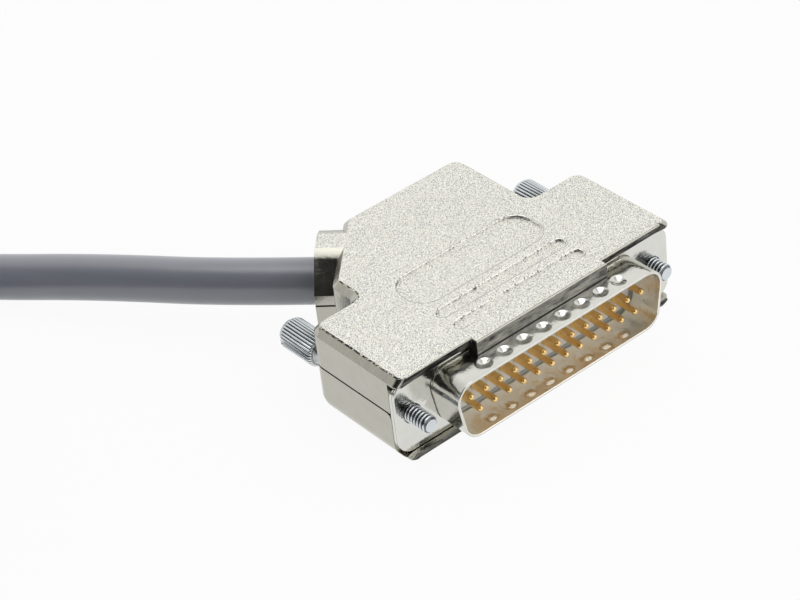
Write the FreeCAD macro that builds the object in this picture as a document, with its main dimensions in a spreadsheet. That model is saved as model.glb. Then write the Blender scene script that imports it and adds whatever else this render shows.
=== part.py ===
import FreeCAD, Part
import Sketcher
import math
import os

# 25-way sub-D plug in a two-part die-cast hood with a 45 degree cable exit.
# Frame: origin at the centre of the plug's flange face, -Y the mating side,
# +X along the flange, +Z up through the hood's grained top. Millimetres.

os.makedirs("parts", exist_ok=True)
doc = FreeCAD.newDocument("dsub_hood")

# Driving dimensions
DIMENSIONS = {
    "hood_half_width": 26.6, "hood_top": 7.5, "hood_bottom": -7.5, "parting": 1.0,
    "overhang": 0.9, "ear_back": 18.9, "body_left": 17.7, "body_right": 16.6,
    "body_back": 35.7, "slant_wall": 41.8, "edge_bevel": 0.9, "corner_radius": 2.4,
    "inner_radius": 1.2, "base_radius": 3.0, "parting_bevel": 0.15, "rim_radius": 1.4,
    "wall": 1.6, "cavity_top": 5.9, "cavity_half": 20.9, "cavity_step": 14.0,
    "slant_cavity": 39.54, "flange_room": 6.4, "flange_back": 1.15,
    "tongue_half": 12.6, "tongue_front": 2.05, "tongue_low": 4.9, "tongue_gap": 0.02,
    "panel_half": 12.6, "panel_low": 9.7, "panel_high": 17.8, "panel_radius": 3.2,
    "groove_half": 12.3, "groove_one": 5.65, "groove_two": 1.75, "groove_wide": 2.2,
    "groove_radius": 1.05, "relief_depth": 0.35,
    "collar_top": 1.9, "collar_shoulder": 3.7, "collar_shoulder_high": 6.75,
    "collar_half": 7.6, "collar_waist": 2.85, "collar_length": 8.6, "cable_bore": 3.75,
    "axis_sum": 21.6, "collar_end": 33.1, "cable_radius": 3.625, "jacket_end": 18.5,
    "jack_pitch_half": 23.52, "jack_bore": 1.8, "clip_room": 2.3,
    "clip_front": 4.0, "clip_back": 9.4,
    "boss_one_x": 12.0, "boss_one_y": 30.6, "boss_two_x": -13.0, "boss_two_y": 17.8,
    "boss_upper": 2.6, "boss_lower": 3.3, "screw_clear": 1.6, "screw_thread": 1.52,
    "screw_radius": 1.5, "head_room": 2.7, "head_depth": 2.6, "thread_depth": 4.4,
    "clamp_near": 19.5, "clamp_length": 4.5, "clamp_half": 8.4, "clamp_seat": 0.4,
    "clamp_wing": 2.4, "clamp_arch": 4.6, "clamp_crown": 3.0, "clamp_top": 4.9,
    "clamp_screw": 6.7, "clamp_screw_radius": 1.0, "clamp_head": 1.8,
    "flange_half": 26.52, "flange_high": 6.275, "flange_radius": 2.5,
    "sheet_front": 0.55, "sheet_rear": 0.6, "jack_hole": 1.525,
    "shroud_top": 19.93, "shroud_bottom": 18.3, "shroud_high": 4.63, "shroud_depth": 5.84,
    "shroud_sheet": 0.45, "shroud_inner_top": 19.48, "shroud_inner_bottom": 17.93,
    "shroud_inner_high": 4.18, "shroud_radius": 2.6, "shroud_inner_radius": 2.15,
    "cup_half": 20.65, "cup_high": 5.35, "cup_depth": 5.0,
    "block_half": 20.15, "block_high": 4.85, "block_split": 3.6, "block_back": 7.2,
    "pin_radius": 0.51, "pin_hole": 0.56, "pin_tip": 5.06, "pin_pitch": 2.76,
    "pin_row": 1.42, "pin_taper": 0.28,
    "tail_radius": 0.85, "tail_hole": 0.9, "tail_back": 11.8,
    "loom_half": 17.4, "loom_thick": 2.9,
    "draw_radius": 0.25, "dent_pitch": 3.72, "dent_front": 3.9,
    "dent_radius": 1.25, "dent_floor": 0.55, "dent_deep": 0.42, "dent_reach": 0.12, "cup_radius": 2.0,
    "well_radius": 1.5, "nose_front": 0.0, "nose_top": 19.4, "nose_bottom": 17.85,
    "nose_high": 4.1, "nose_radius": 2.1,
    "jack_radius": 1.4225, "thread_long": 8.0, "jack_core": 1.25, "jack_shank": 1.5,
    "groove_place": 8.68, "groove_width": 0.64, "groove_core": 1.0,
    "head_place": 24.35, "head_end": 31.95, "head_radius": 2.5,
    "jack_slot": 0.4, "jack_slot_deep": 1.4,
    "clip_outer": 2.15, "clip_thick": 0.6, "clip_gap": 0.85,
    "tip_left": 3.95, "tip_right": 2.95,
    "cable_pitch": 7.25, "coil_middle": 36.25, "coil_lead": 24.6,
    "last_sweep": 100.0, "last_sink": 0.6, "tie_wide": 9.0, "tie_thick": 0.5,
    "bundle_radius": 2.7, "bundle_long": 24.0,
}
sheet = doc.addObject("Spreadsheet::Sheet", "Dimensions")
for row, (alias, number) in enumerate(DIMENSIONS.items(), start=1):
    sheet.set("A%d" % row, alias)
    sheet.set("B%d" % row, str(number))
    sheet.setAlias("B%d" % row, alias)
doc.recompute()


# Helpers: sums of named sizes, sketches on a body's own planes, checked features
def sheet_sum(text):
    """Expression for a sum such as 'wall - 0.5', each name looked up in the sheet."""
    words = text.split()
    for place, word in enumerate(words):
        if word.strip("-") in DIMENSIONS:
            words[place] = word.replace(word.strip("-"), "Dimensions." + word.strip("-"))
    return " ".join(words)


def value(text):
    """Number that the same sum gives."""
    total, sign = 0.0, 1.0
    for word in text.split():
        if word in ("+", "-"):
            sign = -1.0 if word == "-" else 1.0
            continue
        if word.startswith("-") and word[1:] in DIMENSIONS:
            size = -DIMENSIONS[word[1:]]
        else:
            size = DIMENSIONS[word] if word in DIMENSIONS else float(word)
        total += sign * size
        sign = 1.0
    return total


def new_body(name):
    body = doc.addObject("PartDesign::Body", name)
    body.Label = name
    return body


def sketch_on(body, role, level="0", shift=0.0):
    """Sketch on one of the body's planes, moved along its normal to a level."""
    plane = [feature for feature in body.Origin.OriginFeatures if feature.Role == role][0]
    drawn = body.newObject("Sketcher::SketchObject", body.Label + "_sketch")
    drawn.AttachmentSupport = (plane, [""])
    drawn.MapMode = "FlatFace"
    drawn.AttachmentOffset = FreeCAD.Placement(
        FreeCAD.Vector(shift, 0, value(level)), FreeCAD.Rotation())
    drawn.setExpression("AttachmentOffset.Base.z", sheet_sum(level))
    doc.recompute()
    return drawn


def bind(drawn, kind, item, corner, text):
    """Hold one coordinate of a point at a sum of named sizes, through a named constraint."""
    index = drawn.addConstraint(Sketcher.Constraint(kind, -1, 1, item, corner, value(text)))
    name = "size_%d_%d_%s" % (item, corner, kind)
    drawn.renameConstraint(index, name)
    return name, text


def hold_radius(drawn, item, radius):
    index = drawn.addConstraint(Sketcher.Constraint("Radius", item, value(radius)))
    drawn.renameConstraint(index, "radius_%d" % item)
    drawn.setExpression("Constraints.radius_%d" % item, sheet_sum(radius))


def draw_outline(drawn, points, rounds=None):
    """Closed outline through points given as pairs of sums; rounds names a radius per corner."""
    first = drawn.GeometryCount
    count = len(points)
    corners = [FreeCAD.Vector(value(across), value(up), 0) for across, up in points]
    for step in range(count):
        drawn.addGeometry(Part.LineSegment(corners[step], corners[(step + 1) % count]), False)
    for step in range(count):
        following = first + (step + 1) % count
        drawn.addConstraint(Sketcher.Constraint("Coincident", first + step, 2, following, 1))
    held = []
    for step, (across, up) in enumerate(points):
        held.append(bind(drawn, "DistanceX", first + step, 1, across))
        held.append(bind(drawn, "DistanceY", first + step, 1, up))
    radii = [rounds] * count if isinstance(rounds, str) or rounds is None else rounds
    for step, radius in enumerate(radii):
        if radius:
            arc = drawn.GeometryCount
            drawn.fillet(first + step, 1, value(radius), True, True)
            hold_radius(drawn, arc, radius)
    for name, text in held:
        drawn.setExpression("Constraints." + name, sheet_sum(text))


def draw_rectangle(drawn, left, low, right, high, rounds=None):
    draw_outline(drawn, [(left, low), (right, low), (right, high), (left, high)], rounds)


def draw_circle(drawn, across, up, radius):
    centre = FreeCAD.Vector(value(across), value(up), 0)
    item = drawn.addGeometry(Part.Circle(centre, FreeCAD.Vector(0, 0, 1), value(radius)), False)
    for kind, text in (("DistanceX", across), ("DistanceY", up)):
        name, sum_text = bind(drawn, kind, item, 3, text)
        drawn.setExpression("Constraints." + name, sheet_sum(sum_text))
    hold_radius(drawn, item, radius)


def draw_facets(drawn, across, up, radius, sides):
    """Regular outline about a point, for repeated round shapes too small to need a full circle."""
    first = drawn.GeometryCount
    angles = [math.tau * (step + 0.5) / sides for step in range(sides)]
    corners = [FreeCAD.Vector(value(across) + value(radius) * math.cos(angle),
                              value(up) + value(radius) * math.sin(angle), 0) for angle in angles]
    for step in range(sides):
        drawn.addGeometry(Part.LineSegment(corners[step], corners[(step + 1) % sides]), False)
    for step, angle in enumerate(angles):
        following = first + (step + 1) % sides
        drawn.addConstraint(Sketcher.Constraint("Coincident", first + step, 2, following, 1))
        for kind, middle, part in (("DistanceX", across, math.cos(angle)),
                                   ("DistanceY", up, math.sin(angle))):
            size = value(middle) + value(radius) * part
            index = drawn.addConstraint(Sketcher.Constraint(kind, -1, 1, first + step, 1, size))
            drawn.setExpression("Constraints[%d]" % index, "%s + (%s) * %.6f" % (
                sheet_sum(middle), sheet_sum(radius), part))


def extrude(body, drawn, length, cut=False, back=False, taper=0.0):
    """Pad or pocket of a sketch; it must change the body's volume the right way."""
    before = body.Shape.Volume if body.Tip and not body.Shape.isNull() else 0.0
    kind = "Pocket" if cut else "Pad"
    feature = body.newObject("PartDesign::" + kind, body.Label + "_" + kind.lower())
    feature.Profile = drawn
    feature.Length = value(length)
    feature.setExpression("Length", sheet_sum(length))
    feature.Reversed = back
    feature.TaperAngle = taper
    doc.recompute()
    gain = feature.Shape.Volume - before
    if (gain >= -1e-6) if cut else (gain <= 1e-6):
        raise RuntimeError("%s of %s changed the volume by %.4f" % (kind, body.Label, gain))
    return feature


def dress(body, kind, test, size):
    """Fillet or chamfer of the edges that a test picks from the body's last feature."""
    base = body.Tip
    names = ["Edge%d" % (number + 1) for number, edge in enumerate(base.Shape.Edges) if test(edge)]
    if not names:
        raise RuntimeError("no edge for a %s on %s" % (kind, body.Label))
    feature = body.newObject("PartDesign::" + kind, body.Label + "_" + kind.lower())
    feature.Base = (base, names)
    feature.setExpression("Radius" if kind == "Fillet" else "Size", sheet_sum(size))
    doc.recompute()
    if "Invalid" in feature.State or feature.Shape.isNull():
        raise RuntimeError("%s on %s failed: %s" % (kind, body.Label, names))
    return feature


def upright(edge):
    """Straight edge parallel to Z."""
    start, end = edge.Vertexes[0].Point, edge.Vertexes[-1].Point
    return abs(start.x - end.x) < 1e-4 and abs(start.y - end.y) < 1e-4 and abs(start.z - end.z) > 0.2


def along_y(edge, least):
    """Straight edge parallel to Y and longer than a least length."""
    start, end = edge.Vertexes[0].Point, edge.Vertexes[-1].Point
    level = abs(start.x - end.x) < 1e-4 and abs(start.z - end.z) < 1e-4
    return level and abs(start.y - end.y) > least


def all_at(edge, axis, level):
    """Every point of the edge lies at one level along an axis."""
    places = [getattr(vertex.Point, axis) for vertex in edge.Vertexes]
    box = edge.BoundBox
    low, high = getattr(box, axis.upper() + "Min"), getattr(box, axis.upper() + "Max")
    return all(abs(place - level) < 1e-3 for place in places) and high - low < 2e-3


def foot_at(edge, x, y, reach=0.05):
    point = edge.Vertexes[0].Point
    return abs(point.x - x) < reach and abs(point.y - y) < reach


# Hood outline in plan, shared by the two die-cast halves
HOOD_PLAN = [
    ("-hood_half_width", "-overhang"), ("hood_half_width", "-overhang"),
    ("hood_half_width", "ear_back"), ("body_right", "ear_back"),
    ("body_right", "body_back"), ("body_back - slant_wall", "body_back"),
    ("-body_left", "slant_wall - body_left"), ("-body_left", "ear_back"),
    ("-hood_half_width", "ear_back"),
]
HOOD_ROUNDS = {"corner_radius": (2, 4, 8), "inner_radius": (3, 5, 6, 7)}
CAVITY_PLAN = [
    ("-cavity_half", "flange_back - 0.01"), ("cavity_half", "flange_back - 0.01"),
    ("cavity_half", "cavity_step"), ("body_right - wall", "cavity_step"),
    ("body_right - wall", "body_back - wall"),
    ("body_back - wall - slant_cavity", "body_back - wall"),
    ("-body_left + wall", "slant_cavity - body_left + wall"),
    ("-body_left + wall", "cavity_step"), ("-cavity_half", "cavity_step"),
]
DIAGONAL = math.sqrt(2.0)


def across_cable(body, out):
    """Sketch square to the cable, its axis at the origin, at a distance out along it."""
    x = value("axis_sum") / 2.0 - out / DIAGONAL
    y = value("axis_sum") / 2.0 + out / DIAGONAL
    plane = [feature for feature in body.Origin.OriginFeatures if feature.Role == "XZ_Plane"][0]
    drawn = body.newObject("Sketcher::SketchObject", body.Label + "_sketch")
    drawn.AttachmentSupport = (plane, [""])
    drawn.MapMode = "FlatFace"
    drawn.AttachmentOffset = FreeCAD.Placement(
        FreeCAD.Vector(x, 0, -y), FreeCAD.Rotation(FreeCAD.Vector(0, 1, 0), 45))
    doc.recompute()
    return drawn


def round_plan_corners(body):
    """Upright corners of the outline."""
    for radius, places in HOOD_ROUNDS.items():
        spots = [(value(HOOD_PLAN[place][0]), value(HOOD_PLAN[place][1])) for place in places]
        dress(body, "Fillet",
              lambda edge: upright(edge) and any(foot_at(edge, *spot) for spot in spots), radius)


def cut_common_room(body, up):
    """Room inside a half: flange slot, cavity, jackscrew bores and clip pockets."""
    slot = sketch_on(body, "XZ_Plane", "overhang + 2")
    if up:
        draw_rectangle(slot, "-hood_half_width - 1", "parting - 1", "hood_half_width + 1",
                       "flange_room")
    else:
        draw_rectangle(slot, "-hood_half_width - 1", "-flange_room", "hood_half_width + 1",
                       "parting + 1")
    extrude(body, slot, "overhang + 2 + flange_back", cut=True)
    cavity = sketch_on(body, "XY_Plane", "parting")
    draw_outline(cavity, CAVITY_PLAN)
    extrude(body, cavity, "cavity_top - parting" if up else "cavity_top + parting",
            cut=True, back=up)


def cut_jack_bores(body):
    bores = sketch_on(body, "XZ_Plane", "0")
    for side in ("-jack_pitch_half", "jack_pitch_half"):
        draw_circle(bores, side, "0", "jack_bore")
    extrude(body, bores, "ear_back + 1", cut=True)
    pockets = sketch_on(body, "XZ_Plane", "-clip_front")
    for side in ("-jack_pitch_half", "jack_pitch_half"):
        draw_circle(pockets, side, "0", "clip_room")
    extrude(body, pockets, "clip_back - clip_front", cut=True)


def add_tongue(body, up):
    """Lip in front of the flange that keeps the plug in its slot."""
    tongue = sketch_on(body, "XZ_Plane", "tongue_front")
    if up:
        draw_rectangle(tongue, "-tongue_half", "tongue_low", "tongue_half", "hood_top")
    else:
        draw_rectangle(tongue, "-tongue_half", "hood_bottom", "tongue_half", "-tongue_low")
    extrude(body, tongue, "tongue_front - tongue_gap", back=True)


def cut_cable_bore(body):
    bore = across_cable(body, value("collar_end") + 1.0)
    draw_circle(bore, "0", "0", "cable_bore")
    extrude(body, bore, "collar_length", cut=True, back=True)


# Upper half of the hood: die-cast zinc, flat grained top with bevelled edges
upper = new_body("upper_shell")
plan = sketch_on(upper, "XY_Plane", "parting")
draw_outline(plan, HOOD_PLAN)
extrude(upper, plan, "hood_top - parting")
round_plan_corners(upper)
front = -value("overhang")
top = value("hood_top")
dress(upper, "Chamfer",
      lambda edge: all_at(edge, "z", top) and not all_at(edge, "y", front), "edge_bevel")
collar = across_cable(upper, value("collar_end"))
draw_outline(collar, [
    ("-collar_half", "parting"), ("collar_half", "parting"),
    ("collar_half", "collar_waist"), ("collar_shoulder", "collar_shoulder_high"),
    ("collar_top", "hood_top"), ("-collar_top", "hood_top"),
    ("-collar_shoulder", "collar_shoulder_high"), ("-collar_half", "collar_waist")])
extrude(upper, collar, "collar_length")
rim = value("parting")
dress(upper, "Chamfer",
      lambda edge: all_at(edge, "z", rim) and not all_at(edge, "y", front), "parting_bevel")
cut_common_room(upper, True)
for name in ("boss_one", "boss_two"):
    boss = sketch_on(upper, "XY_Plane", "parting")
    draw_circle(boss, name + "_x", name + "_y", "boss_upper")
    extrude(upper, boss, "cavity_top - parting + 0.1")
    thread = sketch_on(upper, "XY_Plane", "parting")
    draw_circle(thread, name + "_x", name + "_y", "screw_thread")
    extrude(upper, thread, "thread_depth", cut=True, back=True)
add_tongue(upper, True)
cut_jack_bores(upper)
cut_cable_bore(upper)

# Shallow reliefs in the grained top: one broad panel and two finger grooves
for low, high, half, radius in (
        ("panel_low", "panel_high", "panel_half", "panel_radius"),
        ("groove_one", "groove_one + groove_wide", "groove_half", "groove_radius"),
        ("groove_two", "groove_two + groove_wide", "groove_half", "groove_radius")):
    relief = sketch_on(upper, "XY_Plane", "hood_top")
    draw_rectangle(relief, "-" + half, low, half, high, radius)
    extrude(upper, relief, "relief_depth", cut=True)

# Lower half of the hood: same outline, large radius along the underside
lower = new_body("lower_shell")
plan = sketch_on(lower, "XY_Plane", "hood_bottom")
draw_outline(plan, HOOD_PLAN)
extrude(lower, plan, "parting - hood_bottom")
collar = across_cable(lower, value("collar_end"))
draw_rectangle(collar, "-collar_half", "hood_bottom", "collar_half", "parting")
extrude(lower, collar, "collar_length")
bottom = value("hood_bottom")
dress(lower, "Fillet",
      lambda edge: all_at(edge, "z", bottom) and not all_at(edge, "y", front), "base_radius")
round_plan_corners(lower)
dress(lower, "Chamfer",
      lambda edge: all_at(edge, "z", rim) and not all_at(edge, "y", front), "parting_bevel")
cut_common_room(lower, False)
for name in ("boss_one", "boss_two"):
    boss = sketch_on(lower, "XY_Plane", "parting")
    draw_circle(boss, name + "_x", name + "_y", "boss_lower")
    extrude(lower, boss, "cavity_top + parting + 0.1", back=True)
    hole = sketch_on(lower, "XY_Plane", "hood_bottom")
    draw_circle(hole, name + "_x", name + "_y", "screw_clear")
    extrude(lower, hole, "parting - hood_bottom + 1", cut=True, back=True)
    room = sketch_on(lower, "XY_Plane", "hood_bottom")
    draw_circle(room, name + "_x", name + "_y", "head_room")
    extrude(lower, room, "head_depth", cut=True, back=True)
cradle = across_cable(lower, value("clamp_near + clamp_length"))
draw_rectangle(cradle, "-clamp_half", "-cavity_top - 0.1", "clamp_half", "clamp_seat")
extrude(lower, cradle, "clamp_length")
seat = across_cable(lower, value("clamp_near + clamp_length") + 0.5)
draw_circle(seat, "0", "0", "cable_radius")
extrude(lower, seat, "clamp_length + 1", cut=True, back=True)
add_tongue(lower, False)
cut_jack_bores(lower)
cut_cable_bore(lower)
slot_back = value("flange_back")
dress(lower, "Fillet",
      lambda edge: all_at(edge, "z", rim) and all_at(edge, "y", slot_back)
      and abs(edge.Vertexes[0].Point.x) > value("cavity_half") - 0.1, "rim_radius")

# Cable clamp: cast saddle over the jacket, held down by two small screws
def beside_cable(out, aside):
    """Plan position at a distance out along the cable and to its far side."""
    middle = value("axis_sum") / 2.0
    return middle + (aside - out) / DIAGONAL, middle + (aside + out) / DIAGONAL


clamp = new_body("clamp_saddle")
saddle = across_cable(clamp, value("clamp_near + clamp_length"))
draw_outline(saddle, [
    ("-clamp_half", "clamp_seat"), ("clamp_half", "clamp_seat"), ("clamp_half", "clamp_wing"),
    ("clamp_arch", "clamp_wing"), ("clamp_crown", "clamp_top"), ("-clamp_crown", "clamp_top"),
    ("-clamp_arch", "clamp_wing"), ("-clamp_half", "clamp_wing")])
extrude(clamp, saddle, "clamp_length")
arch = across_cable(clamp, value("clamp_near + clamp_length") + 0.5)
draw_circle(arch, "0", "0", "cable_radius")
extrude(clamp, arch, "clamp_length + 1", cut=True, back=True)
CLAMP_SPOTS = [beside_cable(value("clamp_near") + value("clamp_length") / 2.0, side * value("clamp_screw"))
               for side in (-1, 1)]
for x, y in CLAMP_SPOTS:
    for body in (clamp, lower):
        hole = sketch_on(body, "XY_Plane", "clamp_wing + 1")
        draw_circle(hole, "%.4f" % x, "%.4f" % y, "clamp_screw_radius + 0.03")
        extrude(body, hole, "clamp_wing + 1 + 4", cut=True)


# Screws with a slotted cheese head; the thread is drawn at its major diameter
def cheese_screw(name, radius, head_radius, head_tall, length, slot):
    """Screw along Z: head from 0 up, shank down, slot across the head."""
    body = new_body(name)
    profile = sketch_on(body, "XZ_Plane", "0")
    draw_outline(profile, [
        ("0", "-%g" % length), ("%g" % radius, "-%g" % length), ("%g" % radius, "0"),
        ("%g" % head_radius, "0"), ("%g" % head_radius, "%g" % head_tall),
        ("0", "%g" % head_tall)])
    turned = body.newObject("PartDesign::Revolution", name + "_turned")
    turned.Profile = profile
    turned.ReferenceAxis = (profile, ["V_Axis"])
    turned.Angle = 360
    doc.recompute()
    drive = sketch_on(body, "XY_Plane", "%g" % head_tall)
    draw_rectangle(drive, "-%g" % head_radius, "-%g" % slot, "%g" % head_radius, "%g" % slot)
    extrude(body, drive, "%g" % (head_tall * 0.45), cut=True)
    return body


def screw_group(name, screws):
    """Identical screws as one group of separate solids."""
    group = doc.addObject("Part::Compound", name)
    group.Label = name
    group.Links = screws
    return group


case_screws = []
for name in ("boss_one", "boss_two"):
    screw = cheese_screw("case_screw_" + name, value("screw_radius"), 2.5, 2.0, 8.0, 0.4)
    screw.Placement = FreeCAD.Placement(
        FreeCAD.Vector(value(name + "_x"), value(name + "_y"), value("hood_bottom + head_depth")),
        FreeCAD.Rotation(FreeCAD.Vector(1, 0, 0), 180))
    case_screws.append(screw)
clamp_screws = []
for index, (x, y) in enumerate(CLAMP_SPOTS):
    screw = cheese_screw("clamp_screw_%d" % index, value("clamp_screw_radius"),
                         value("clamp_head"), 1.4, 6.0, 0.25)
    screw.Placement = FreeCAD.Placement(
        FreeCAD.Vector(x, y, value("clamp_wing")), FreeCAD.Rotation(FreeCAD.Vector(0, 0, 1), 30))
    clamp_screws.append(screw)

# Plug shell: drawn steel flange and D-shaped shroud, grounding dents in both long walls
shell = new_body("front_shell")
flange = sketch_on(shell, "XZ_Plane", "0")
draw_rectangle(flange, "-flange_half", "-flange_high", "flange_half", "flange_high",
               "flange_radius")
extrude(shell, flange, "sheet_front", back=True)


def draw_dee(drawn, top_half, bottom_half, high, radius):
    draw_outline(drawn, [("-" + bottom_half, "-" + high), (bottom_half, "-" + high),
                         (top_half, high), ("-" + top_half, high)], radius)


shroud = sketch_on(shell, "XZ_Plane", "0")
draw_dee(shroud, "shroud_top", "shroud_bottom", "shroud_high", "shroud_radius")
extrude(shell, shroud, "shroud_depth")
mouth = sketch_on(shell, "XZ_Plane", "shroud_depth")
draw_dee(mouth, "shroud_inner_top", "shroud_inner_bottom", "shroud_inner_high",
         "shroud_inner_radius")
extrude(shell, mouth, "shroud_depth + sheet_front", cut=True)
dress(shell, "Fillet",
      lambda edge: all_at(edge, "y", 0.0) and abs(edge.BoundBox.ZMax) < value("shroud_high") + 0.01
      and max(abs(edge.BoundBox.XMax), abs(edge.BoundBox.XMin)) < value("shroud_top") + 0.01,
      "draw_radius")


def jack_holes(body, level, length):
    holes = sketch_on(body, "XZ_Plane", level)
    for side in ("-jack_pitch_half", "jack_pitch_half"):
        draw_circle(holes, side, "0", "jack_hole")
    extrude(body, holes, length, cut=True)


jack_holes(shell, "0", "sheet_front")


def dent(body, x, up, inward):
    """Pressed dent in a long wall, eight-sided here: pushed in outside, raised inside."""
    level = "shroud_high - shroud_sheet" if inward else "shroud_high"
    drawn = sketch_on(body, "XY_Plane", level if up else "-" + level.replace("- ", "+ "))
    draw_facets(drawn, "%g" % x, "-dent_front", "dent_radius + dent_reach" if inward else "dent_radius", 8)
    return extrude(body, drawn, "dent_deep", cut=not inward, back=up == inward, taper=-DENT_SLOPE)


def repeat_along(body, feature, count, length):
    row = body.newObject("PartDesign::LinearPattern", body.Label + "_row")
    row.Originals = [feature]
    row.Direction = (feature.Profile[0], ["H_Axis"])
    row.Length = length
    row.Occurrences = count
    body.Tip = row
    doc.recompute()
    return row


DENTS = 8
DENT_SLOPE = math.degrees(math.atan2(value("dent_radius") - value("dent_floor"), value("dent_deep")))
DENT_ROW = value("dent_pitch") * (DENTS - 1)
for up in (True, False):
    for inward in (True, False):
        before = shell.Shape.Volume
        feature = dent(shell, -DENT_ROW / 2.0, up, inward)
        doc.recompute()
        repeat_along(shell, feature, DENTS, DENT_ROW)
        change = shell.Shape.Volume - before
        if (change <= 0) == inward:
            raise RuntimeError("dents changed the volume by %.4f" % change)

# Rear shell: second sheet of the flange with the cup that holds the insulators
rear = new_body("rear_shell")
flange = sketch_on(rear, "XZ_Plane", "-sheet_front")
draw_rectangle(flange, "-flange_half", "-flange_high", "flange_half", "flange_high",
               "flange_radius")
extrude(rear, flange, "sheet_rear", back=True)
cup = sketch_on(rear, "XZ_Plane", "-sheet_front")
draw_rectangle(cup, "-cup_half", "-cup_high", "cup_half", "cup_high", "cup_radius")
extrude(rear, cup, "cup_depth + sheet_rear", back=True)
well = sketch_on(rear, "XZ_Plane", "-sheet_front")
draw_rectangle(well, "-block_half", "-block_high", "block_half", "block_high", "well_radius")
extrude(rear, well, "cup_depth + sheet_rear", cut=True)
jack_holes(rear, "-sheet_front", "sheet_rear")

# Contact places: thirteen in the upper row, twelve in the lower
CONTACTS = [((step - 6) * value("pin_pitch"), value("pin_row")) for step in range(13)]
CONTACTS += [((step - 5.5) * value("pin_pitch"), -value("pin_row")) for step in range(12)]


def pin_holes(body, level, radius, length):
    """Two rows of through holes, twelve-sided, thirteen above and twelve below."""
    for count, up in ((13, "pin_row"), (12, "-pin_row")):
        drawn = sketch_on(body, "XZ_Plane", level)
        start = -(count - 1) / 2.0 * value("pin_pitch")
        draw_facets(drawn, "%.3f" % start, up, radius, 12)
        hole = extrude(body, drawn, length, cut=True)
        repeat_along(body, hole, count, (count - 1) * value("pin_pitch"))


# Insulators: moulded front block with the D-shaped nose, plain rear block
nose = new_body("front_insulator")
block = sketch_on(nose, "XZ_Plane", "-sheet_front")
draw_rectangle(block, "-block_half", "-block_high", "block_half", "block_high", "well_radius")
extrude(nose, block, "block_split - sheet_front", back=True)
face = sketch_on(nose, "XZ_Plane", "nose_front")
draw_dee(face, "nose_top", "nose_bottom", "nose_high", "nose_radius")
extrude(nose, face, "sheet_front + nose_front + 0.5", back=True)
pin_holes(nose, "nose_front", "pin_hole", "block_split + nose_front")
back_block = new_body("rear_insulator")
block = sketch_on(back_block, "XZ_Plane", "-block_split")
draw_rectangle(block, "-block_half", "-block_high", "block_half", "block_high", "well_radius")
extrude(back_block, block, "block_back - block_split", back=True)
pin_holes(back_block, "-block_split", "tail_hole", "block_back - block_split")

# Contacts: turned pins, twelve-sided here, the thick tail held behind the front block
contact_bodies = []
for number, (x, z) in enumerate(CONTACTS, start=1):
    pin = new_body("contact_%02d" % number)
    shaft = sketch_on(pin, "XZ_Plane", "pin_tip")
    draw_facets(shaft, "0", "0", "pin_radius", 12)
    extrude(pin, shaft, "pin_tip + block_split", back=True)
    dress(pin, "Chamfer", lambda edge: all_at(edge, "y", -value("pin_tip")), "pin_taper")
    tail = sketch_on(pin, "XZ_Plane", "-block_split")
    draw_facets(tail, "0", "0", "tail_radius", 12)
    extrude(pin, tail, "tail_back - block_split", back=True)
    pin.Placement = FreeCAD.Placement(FreeCAD.Vector(x, 0, z), FreeCAD.Rotation())
    contact_bodies.append(pin)

# Jackscrews: turned, with a knurled head behind the ear and a clip groove on the shank
def jack_screw(name, x, tip):
    body = new_body(name)
    profile = sketch_on(body, "XY_Plane", "0")
    draw_outline(profile, [
        ("0", "0"), ("jack_radius - 0.35", "0"), ("jack_radius", "0.35"),
        ("jack_radius", "thread_long"), ("jack_core", "thread_long + 0.2"),
        ("jack_core", "groove_place"), ("groove_core", "groove_place"),
        ("groove_core", "groove_place + groove_width"),
        ("jack_shank", "groove_place + groove_width"), ("jack_shank", "head_place"),
        ("head_radius - 0.3", "head_place"), ("head_radius", "head_place + 0.3"),
        ("head_radius", "head_end - 0.3"), ("head_radius - 0.3", "head_end"), ("0", "head_end")])
    turned = body.newObject("PartDesign::Revolution", name + "_turned")
    turned.Profile = profile
    turned.ReferenceAxis = (profile, ["V_Axis"])
    turned.Angle = 360
    doc.recompute()
    slot = sketch_on(body, "XZ_Plane", "-head_end")
    draw_rectangle(slot, "-head_radius", "-jack_slot", "head_radius", "jack_slot")
    extrude(body, slot, "jack_slot_deep", cut=True, back=True)
    body.Placement = FreeCAD.Placement(FreeCAD.Vector(x, -tip, 0), FreeCAD.Rotation())
    return body


def jack_clip(name, x, tip):
    """Open spring clip that snaps into the screw's groove and slides in the hood's pocket."""
    body = new_body(name)
    ring = sketch_on(body, "XZ_Plane", "-groove_place - 0.02")
    draw_circle(ring, "0", "0", "clip_outer")
    draw_circle(ring, "0", "0", "groove_core + 0.02")
    extrude(body, ring, "clip_thick", back=True)
    gap = sketch_on(body, "XZ_Plane", "-groove_place - 0.02")
    draw_rectangle(gap, "-clip_gap", "0", "clip_gap", "clip_outer + 1")
    extrude(body, gap, "clip_thick", cut=True)
    body.Placement = FreeCAD.Placement(FreeCAD.Vector(x, -tip, 0), FreeCAD.Rotation())
    return body


JACK_TIPS = {"left": (-1, "tip_left"), "right": (1, "tip_right")}
jack_bodies = []
for side, (sign, tip) in JACK_TIPS.items():
    x = sign * value("jack_pitch_half")
    jack_bodies.append(jack_screw("thumb_screw_" + side, x, value(tip)))
    jack_bodies.append(jack_clip("retaining_clip_" + side, x, value(tip)))

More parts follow.
